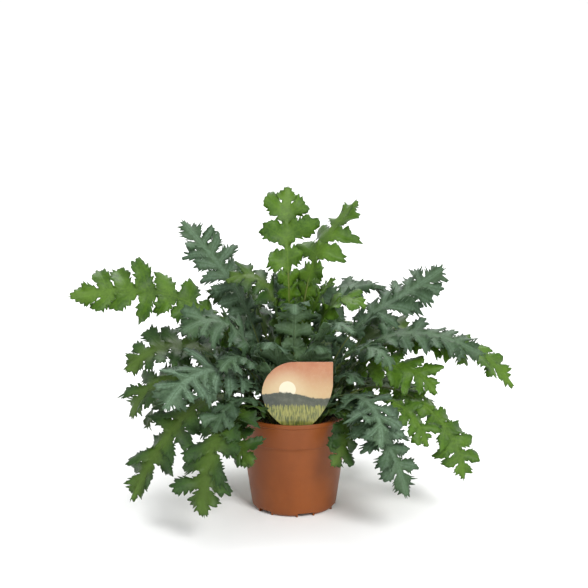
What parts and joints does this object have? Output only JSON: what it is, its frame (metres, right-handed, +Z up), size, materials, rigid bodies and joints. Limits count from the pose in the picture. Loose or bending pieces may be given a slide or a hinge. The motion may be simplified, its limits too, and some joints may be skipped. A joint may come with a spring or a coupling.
{
  "type": "potted davana fern",
  "caption": "Ornamental fern with arching fronds of deeply lobed, wavy blue-green leaves, growing in a round tapered plastic nursery pot with a printed plant tag.",
  "frame": {"origin": "centre of the pot's flat base, on the surface that the pot stands on", "axes": "+Z up along the pot's axis; -Y is the front, where the plant tag stands; +X is to the right as seen from the front"},
  "size_m": [0.4839, 0.3172, 0.346],
  "materials": {
    "pot": "satin moulded terracotta-coloured plastic",
    "soil": "loose dark potting mix of peat and bark",
    "rhizome": "golden-brown scales",
    "tag": "glossy printed plastic card",
    "leaf_blue": "leaf with a pale waxy blue bloom",
    "leaf_green": "grey-green leaf",
    "leaf_young": "fresh green leaf"
  },
  "bodies": {
    "root": {"pot": "pot", "soil": "soil", "plant_tag": "tag", "rhizome_1": "rhizome", "rhizome_2": "rhizome", "rhizome_3": "rhizome", "frond_low_front_left": "leaf_green", "frond_low_left": "leaf_green", "frond_low_left_side": "leaf_green", "frond_low_back_left": "leaf_green", "frond_low_back_1": "leaf_green", "frond_low_back_2": "leaf_blue", "frond_low_back_3": "leaf_green", "frond_low_back_right": "leaf_green", "frond_low_right_side": "leaf_green", "frond_low_right": "leaf_young", "frond_low_front_right": "leaf_blue", "frond_low_front_rim": "leaf_green", "frond_low_front_inner": "leaf_green", "frond_mid_front_left": "leaf_blue", "frond_front_left_mid": "leaf_blue", "frond_mid_left": "leaf_green", "frond_mid_back_left": "leaf_blue", "frond_mid_back_1": "leaf_green", "frond_mid_back_2": "leaf_blue", "frond_mid_back_3": "leaf_green", "frond_mid_back_right": "leaf_green", "frond_right_reaching": "leaf_young", "frond_right_hanging": "leaf_young", "frond_mid_front_right": "leaf_blue", "frond_mid_right_down": "leaf_blue", "frond_mid_right_low": "leaf_young", "frond_left_long": "leaf_young", "frond_upper_left": "leaf_blue", "frond_upper_right": "leaf_blue", "frond_right_shoulder": "leaf_blue", "frond_left_shoulder": "leaf_blue", "frond_back_shoulder_1": "leaf_green", "frond_back_shoulder_2": "leaf_young", "frond_back_shoulder_3": "leaf_blue", "frond_front_left_high": "leaf_blue", "frond_front_right_high": "leaf_blue", "frond_rim_right": "leaf_green", "frond_core_right": "leaf_blue", "frond_above_tag_left": "leaf_blue", "frond_above_tag_right": "leaf_blue", "frond_crown_left": "leaf_green", "frond_crown_front": "leaf_blue", "frond_crown_right": "leaf_young", "frond_crown_light": "leaf_young", "frond_small_dark": "leaf_blue", "frond_top_left": "leaf_young", "frond_top_right": "leaf_young"}
  },
  "joints": []
}
